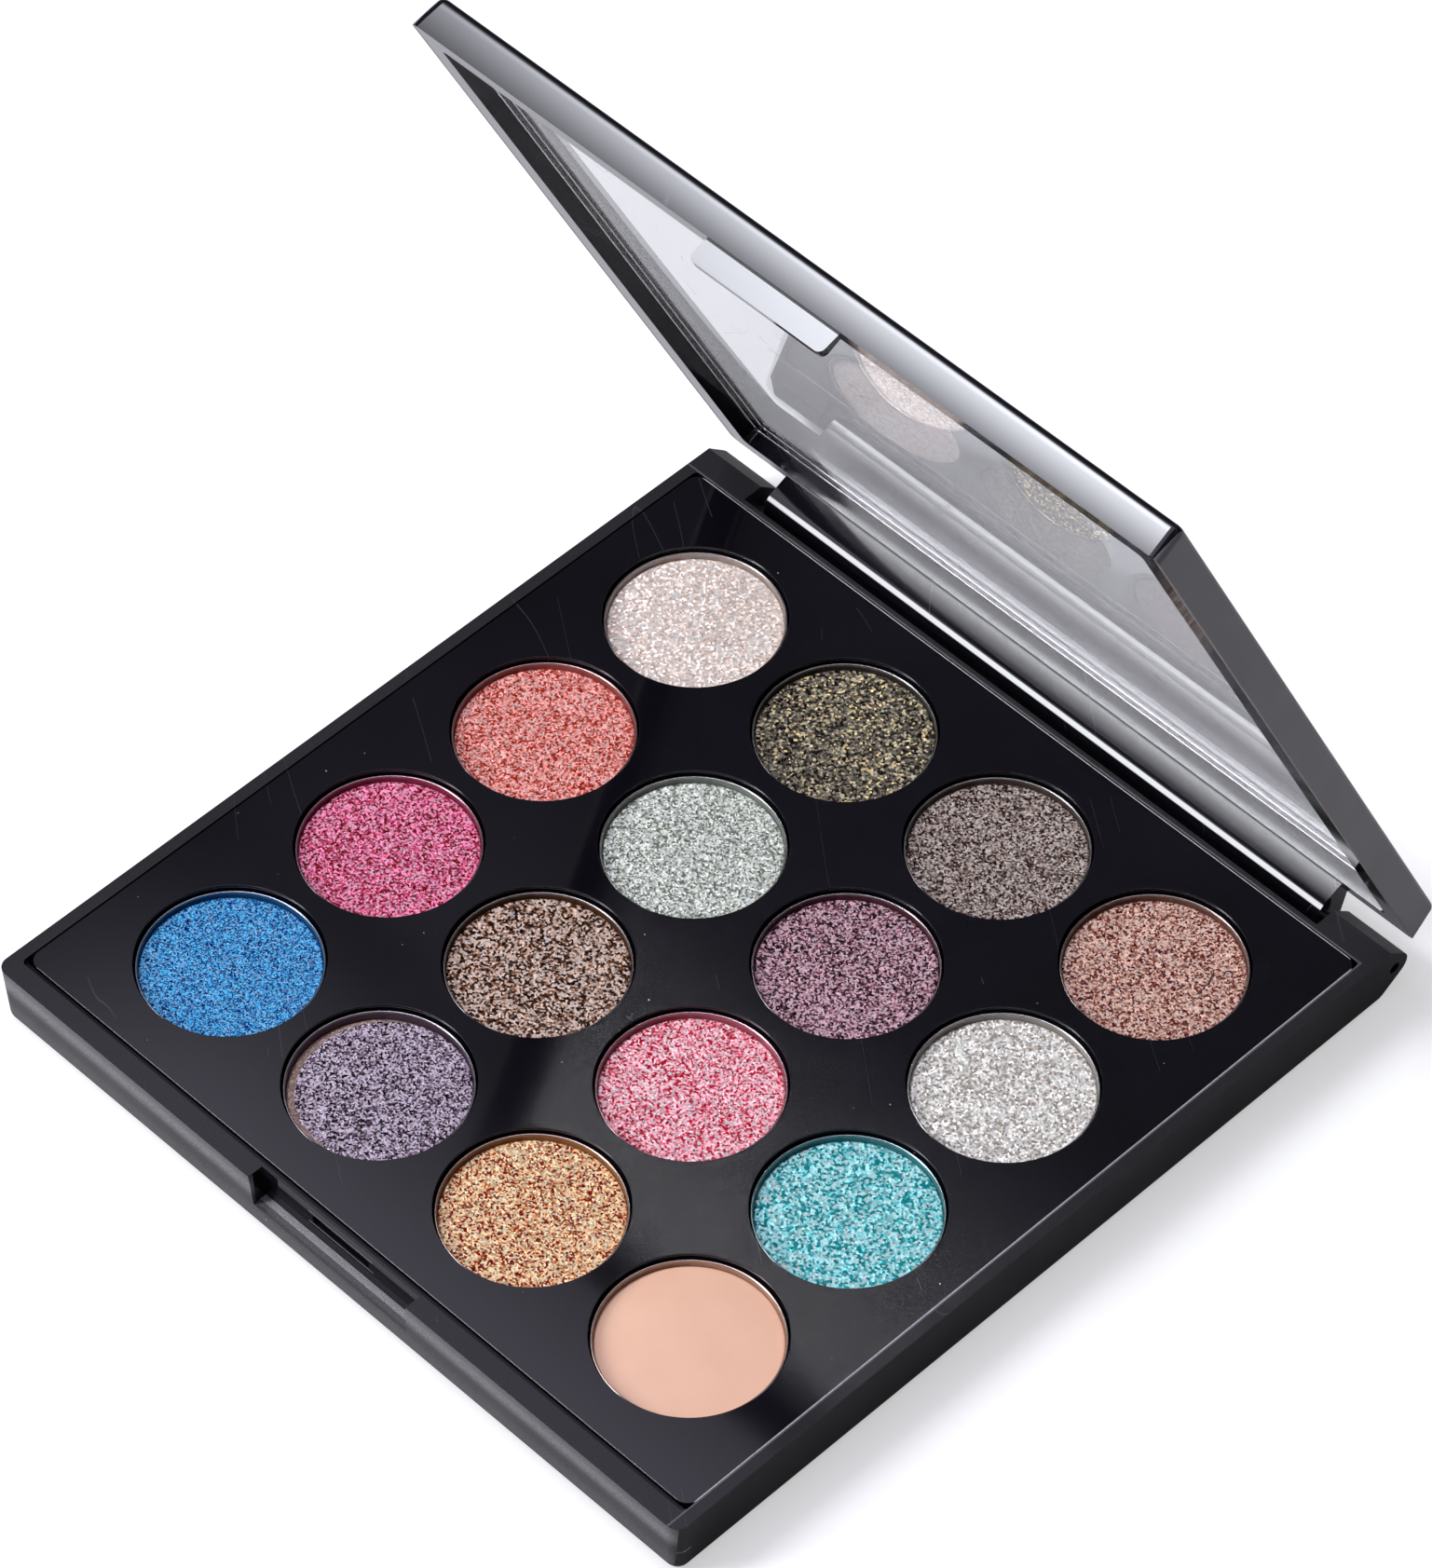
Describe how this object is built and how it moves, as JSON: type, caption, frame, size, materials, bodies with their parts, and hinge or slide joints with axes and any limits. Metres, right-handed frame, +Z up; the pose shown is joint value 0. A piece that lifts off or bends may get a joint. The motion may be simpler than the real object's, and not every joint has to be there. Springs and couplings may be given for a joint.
{
  "type": "eyeshadow palette",
  "caption": "Square eyeshadow palette: flat black case with a grid of round metal pans of pressed shades, and a framed clear lid on two short hinge pins.",
  "frame": {"origin": "on the flat underside of the base, directly below the middle of the pan grid", "axes": "+X along the hinge to the right, +Y from the front latch to the hinge, +Z up out of the pans; the lid is stored open at 64.4 degrees"},
  "size_m": [0.1316, 0.1452, 0.1334],
  "materials": {
    "base_black": "polished on top, fine satin grain on the outer walls",
    "tray_black": "polished",
    "lid_black": "polished front and tab, satin sides",
    "window_clear": "clear, polished",
    "pan_metal": "bright pressed sheet",
    "pin_steel": "bright drawn wire",
    "glue": "dried glue",
    "powder_blue": "pressed powder with glitter",
    "powder_slate_violet": "pressed powder with glitter",
    "powder_gold": "pressed powder with glitter",
    "cream_peach": "smooth pressed cream",
    "powder_magenta": "pressed powder with glitter",
    "powder_brown": "pressed powder with glitter",
    "powder_hot_pink": "pressed powder with glitter",
    "powder_turquoise": "pressed powder with glitter",
    "powder_coral": "pressed powder with glitter",
    "powder_mint": "pressed powder with glitter",
    "powder_plum": "pressed powder with glitter",
    "powder_white": "pressed powder with glitter",
    "powder_champagne": "pressed powder with glitter",
    "powder_olive_black": "pressed powder with glitter",
    "powder_dark_taupe": "pressed powder with glitter",
    "powder_rose_brown": "pressed powder with glitter"
  },
  "bodies": {
    "base": {"base_shell": "base_black", "pan_tray": "tray_black", "pan_glue_spots": "glue", "pan_blue": "pan_metal", "pan_slate_violet": "pan_metal", "pan_gold": "pan_metal", "pan_peach_cream": "pan_metal", "pan_magenta": "pan_metal", "pan_brown": "pan_metal", "pan_hot_pink": "pan_metal", "pan_turquoise": "pan_metal", "pan_coral": "pan_metal", "pan_mint": "pan_metal", "pan_plum": "pan_metal", "pan_white": "pan_metal", "pan_champagne": "pan_metal", "pan_olive_black": "pan_metal", "pan_dark_taupe": "pan_metal", "pan_rose_brown": "pan_metal", "shade_blue": "powder_blue", "shade_slate_violet": "powder_slate_violet", "shade_gold": "powder_gold", "shade_peach_cream": "cream_peach", "shade_magenta": "powder_magenta", "shade_brown": "powder_brown", "shade_hot_pink": "powder_hot_pink", "shade_turquoise": "powder_turquoise", "shade_coral": "powder_coral", "shade_mint": "powder_mint", "shade_plum": "powder_plum", "shade_white": "powder_white", "shade_champagne": "powder_champagne", "shade_olive_black": "powder_olive_black", "shade_dark_taupe": "powder_dark_taupe", "shade_rose_brown": "powder_rose_brown", "hinge_pin_left": "pin_steel", "hinge_pin_right": "pin_steel"},
    "lid": {"lid_frame": "lid_black", "lid_window": "window_clear"}
  },
  "joints": [
    {"name": "lid_hinge", "type": "hinge", "parent": "base", "child": "lid", "pos_m": [0, 0.06954, 0.006], "axis": [-1, 0, 0], "range_deg": [-64.4, 55.6]}
  ]
}
